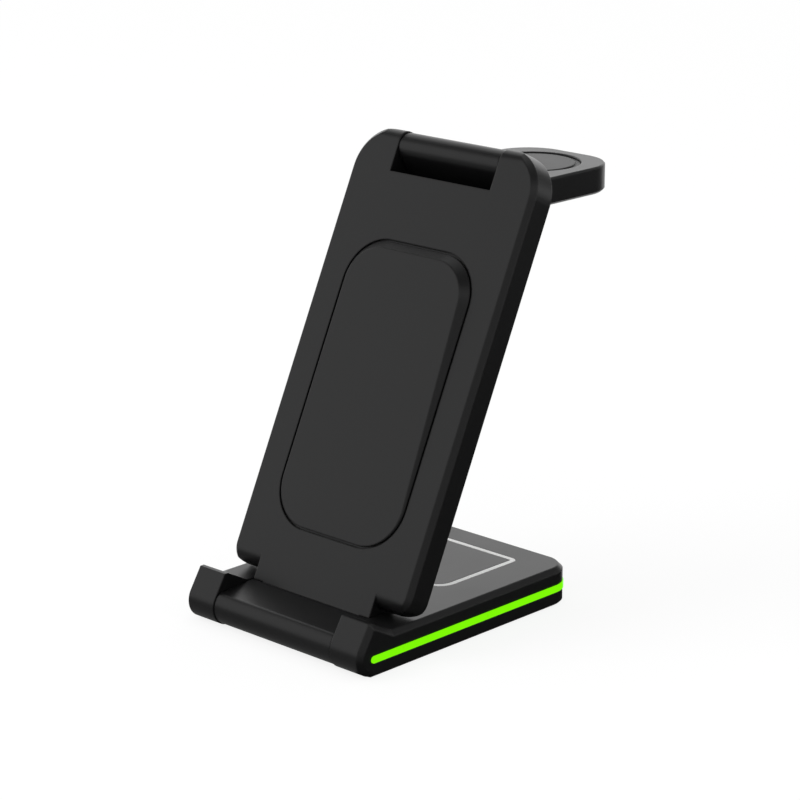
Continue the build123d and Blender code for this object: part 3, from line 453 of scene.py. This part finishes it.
def crown_dish():
    """The watch dish, turned from a profile with a raised crown and a groove round it."""
    low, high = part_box("watch_dish")
    middle_x, middle_y = (low[0] + high[0]) / 2, (low[1] + high[1]) / 2
    foot = (high[0] - low[0]) / 2
    crown = foot - DISH_GROOVE
    top = low[2] + DISH_SEAT_DEPTH - DISH_BELOW_ARM
    profile = [
        (foot, low[2]),
        (foot, high[2]),
        (crown, high[2]),
        (crown, top - DISH_EDGE_ROUND),
        (crown - DISH_EDGE_ROUND, top),
    ]
    dish = bmesh.new()
    rings = [
        [
            dish.verts.new((middle_x + radius * cos(turn), middle_y + radius * sin(turn), level))
            for turn in (2 * pi * side / DISH_SIDES for side in range(DISH_SIDES))
        ]
        for radius, level in profile
    ]
    for below, above in zip(rings, rings[1:]):
        for side in range(DISH_SIDES):
            after = (side + 1) % DISH_SIDES
            dish.faces.new((below[side], below[after], above[after], above[side]))
    dish.faces.new(rings[0])
    dish.faces.new(rings[-1])
    bmesh.ops.recalc_face_normals(dish, faces=dish.faces)
    mesh = bpy.data.meshes.new("watch_dish_crown")
    dish.to_mesh(mesh)
    dish.free()
    mesh.shade_smooth()
    mesh.set_sharp_from_angle(angle=radians(SHARP_ANGLE))
    mesh.materials.append(dish_skin)
    piece = bpy.data.objects.new("watch_dish_crown", mesh)
    bpy.context.scene.collection.objects.link(piece)
    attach(piece, "watch_arm")
    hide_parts("watch_dish")


crown_dish()

windings = winding_tree()
panel_tilt = radians(90 - PANEL_LEAN)
for coil_node, coil_body, coil_bore, coil_tilt in (
    ("earbud_coil", "base", EARBUD_COIL_BORE, 0.0),
    ("phone_coil_lower", "panel", PHONE_COIL_BORE, panel_tilt),
    ("phone_coil_upper", "panel", PHONE_COIL_BORE, panel_tilt),
    ("watch_coil", "watch_arm", WATCH_COIL_BORE, 0.0),
):
    wind_coil(windings, coil_node, coil_body, coil_bore, coil_tilt)


def lay_floor():
    """A pale floor that is white to the eye and in reflections and keeps a faint shadow."""
    half = FLOOR_HALF
    mesh = bpy.data.meshes.new("floor")
    corners = [(-half, -half, 0), (half, -half, 0), (half, half, 0), (-half, half, 0)]
    mesh.from_pydata(corners, [], [(0, 1, 2, 3)])
    floor = bpy.data.objects.new("floor", mesh)
    bpy.context.scene.collection.objects.link(floor)
    material, recipe = new_finish("floor_paper")
    paper = recipe.node("ShaderNodeBsdfDiffuse", None, {"Color": FLOOR_PAPER})
    glow = recipe.node("ShaderNodeEmission", None, {"Color": WHITE, "Strength": 1.0})
    path = "ShaderNodeLightPath"
    seen = recipe.node(path, output="Is Camera Ray") + recipe.node(path, output="Is Glossy Ray")
    seen = seen + recipe.node(path, output="Is Transmission Ray")
    shader = recipe.node("ShaderNodeMixShader", None, {0: seen * FLOOR_GLOW, 1: paper, 2: glow})
    recipe.node("ShaderNodeOutputMaterial", None, {"Surface": shader})
    mesh.materials.append(material)


def light_world():
    """White all round, to the eye, in reflections and as soft light."""
    world = bpy.data.worlds.new("studio")
    bpy.context.scene.world = world
    world.use_nodes = True
    recipe = Recipe(world.node_tree)
    white = recipe.node("ShaderNodeBackground", None, {"Color": WHITE, "Strength": 1.0})
    recipe.node("ShaderNodeOutputWorld", None, {"Surface": white})


def hang_softbox():
    """A square softbox at the front left, which doesn't show in reflections."""
    data = bpy.data.lights.new("key_softbox", "AREA")
    data.shape = "SQUARE"
    data.size = KEY_SIZE
    data.energy = KEY_WATTS
    lamp = bpy.data.objects.new("key_softbox", data)
    lamp.location = KEY_PLACE
    aim = Vector(KEY_AIM) - Vector(KEY_PLACE)
    lamp.rotation_euler = aim.to_track_quat("-Z", "Y").to_euler()
    lamp.visible_glossy = False
    bpy.context.scene.collection.objects.link(lamp)


def make_card(name, corners, glow):
    """A card beside the set that glows as told and is seen only in reflections."""
    mesh = bpy.data.meshes.new(name)
    mesh.from_pydata(corners, [], [(0, 1, 2, 3)])
    card = bpy.data.objects.new(name, mesh)
    bpy.context.scene.collection.objects.link(card)
    material, recipe = new_finish(name + "_cloth")
    cloth = recipe.node("ShaderNodeEmission", None, {"Color": WHITE, "Strength": glow})
    recipe.node("ShaderNodeOutputMaterial", None, {"Surface": cloth})
    mesh.materials.append(material)
    card.visible_camera = False
    card.visible_diffuse = False
    card.visible_shadow = False
    card.visible_transmission = False


def lay_card(name, left, right, front, back, level, glow):
    """A level card, on the floor or overhead."""
    corners = [(left, front), (right, front), (right, back), (left, back)]
    make_card(name, [(x, y, level) for x, y in corners], glow)


def stand_card(name, start, end, bottom, top, glow):
    """An upright card over the line from start to end."""
    make_card(name, [(*start, bottom), (*end, bottom), (*end, top), (*start, top)], glow)


def set_camera():
    """The photograph's view."""
    data = bpy.data.cameras.new("camera")
    data.lens = FOCAL_LENGTH_MM
    data.sensor_width = SENSOR_WIDTH_MM
    camera = bpy.data.objects.new("camera", data)
    camera.location = CAMERA_PLACE
    camera.rotation_euler = (radians(90 - CAMERA_ELEVATION), 0, radians(CAMERA_AZIMUTH))
    bpy.context.scene.collection.objects.link(camera)
    bpy.context.scene.camera = camera


set_camera()
lay_floor()
light_world()
hang_softbox()
lay_card("front_floor_card", left=-0.6, right=0.9, front=-0.9, back=-0.02, level=0.0001, glow=0.23)
lay_card("right_floor_card", left=0.034, right=1.5, front=-0.06, back=1.5, level=0.0002, glow=0.03)
lay_card("top_card", left=-1.4, right=0.9, front=-0.9, back=0.2, level=CEILING, glow=0.08)
lay_card("rear_top_card", left=-0.1, right=1.6, front=0.7, back=2.1, level=CEILING, glow=0.28)
stand_card("back_card", start=(-1.8, 0.2), end=(-0.2, 1.8), bottom=0.0, top=1.0, glow=1.35)
stand_card("rear_card", start=(-0.15, 1.9), end=(0.9, 1.9), bottom=0.3, top=CEILING, glow=0.2)
stand_card("near_card", start=(0.6, -1.9), end=(2.1, -0.4), bottom=0.0, top=1.4, glow=0.45)

bpy.context.scene.view_settings.view_transform = "Standard"
